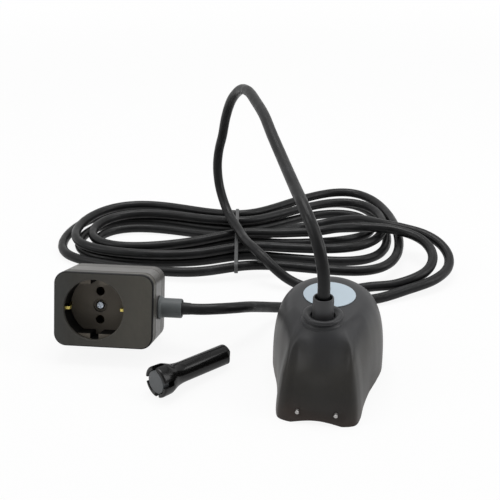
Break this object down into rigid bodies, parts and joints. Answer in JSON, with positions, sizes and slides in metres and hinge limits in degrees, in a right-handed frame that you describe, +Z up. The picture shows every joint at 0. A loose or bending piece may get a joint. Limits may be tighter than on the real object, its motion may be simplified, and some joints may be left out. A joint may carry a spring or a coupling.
{
  "type": "level sensor switch with socket box for a submersible sump pump",
  "caption": "Pear-shaped level sensor head on a long cord tied in a hank, with a plug-through socket box and a loose magnet key",
  "frame": {"origin": "on the floor under the middle of the sensor head, in the plane of its base plate", "axes": "+Z up, -Y the way the sensor head's electrode face looks, +X to the right seen from that side"},
  "size_m": [0.3212, 0.3418, 0.1439],
  "materials": {
    "housing": "satin moulded",
    "base_resin": "cast resin",
    "electrode_steel": "turned",
    "seal_rubber": "moulded",
    "label_white": "printed film, left bare",
    "sleeve_plastic": "satin moulded",
    "board_green": "solder mask",
    "relay_blue": "moulded",
    "capacitor_sleeve": "shrunk sleeve",
    "terminal_green": "moulded",
    "reed_glass": "drawn glass",
    "box_face": "fine spark texture",
    "box_side": "semi-gloss moulded",
    "box_rear": "satin moulded",
    "contact_brass": "pressed strip",
    "plug_pin_nickel": "nickel plated",
    "screw_zinc": "zinc plated",
    "gland_grey": "satin moulded",
    "key_black": "gloss moulded",
    "magnet_grey": "dull plated disc",
    "cord_rubber": "matte sheath",
    "tie_nylon": "moulded nylon"
  },
  "bodies": {
    "unit": {"sensor_housing": "housing", "base_plate": "base_resin", "potting_compound": "base_resin", "electrode_left": "electrode_steel", "electrode_right": "electrode_steel", "electrode_seal_left": "seal_rubber", "electrode_seal_right": "seal_rubber", "cord_seal": "seal_rubber", "sensor_label": "label_white", "sensor_sleeve": "sleeve_plastic", "sensor_cord_clamp": "sleeve_plastic", "box_cord_clamp": "sleeve_plastic", "circuit_board": "board_green", "relay": "relay_blue", "capacitor": "capacitor_sleeve", "terminal_block": "terminal_green", "reed_switch": "reed_glass", "box_front_cover": "box_face", "socket_insert": "box_face", "box_middle_shell": "box_side", "box_rear_cover": "box_rear", "pole_contact_upper": "contact_brass", "pole_contact_lower": "contact_brass", "earth_strap": "contact_brass", "plug_earth_strip_left": "contact_brass", "plug_earth_strip_right": "contact_brass", "plug_pin_upper": "plug_pin_nickel", "plug_pin_lower": "plug_pin_nickel", "rear_screw_lower_left": "screw_zinc", "rear_screw_lower_right": "screw_zinc", "rear_screw_upper_left": "screw_zinc", "rear_screw_upper_right": "screw_zinc", "centre_screw": "screw_zinc", "box_gland": "gland_grey", "cord_hank": "cord_rubber", "cord_sensor_run": "cord_rubber", "cord_box_run": "cord_rubber", "cable_tie": "tie_nylon"},
    "left_clip": {"earth_clip_left": "contact_brass"},
    "right_clip": {"earth_clip_right": "contact_brass"},
    "magnet_key": {"key_handle": "key_black", "key_magnet": "magnet_grey"}
  },
  "joints": [
    {"name": "left_clip_spread", "type": "slide", "parent": "unit", "child": "left_clip", "axis": [-0.9971, -0.0767, 0], "range_m": [0, 0.0012], "stiffness_N_per_m": 2000},
    {"name": "right_clip_spread", "type": "slide", "parent": "unit", "child": "right_clip", "axis": [0.9971, 0.0767, 0], "range_m": [0, 0.0012], "stiffness_N_per_m": 2000},
    {"name": "key_lift", "type": "slide", "parent": "unit", "child": "magnet_key", "axis": [0, 0, 1], "range_m": [0, 0.04]}
  ]
}
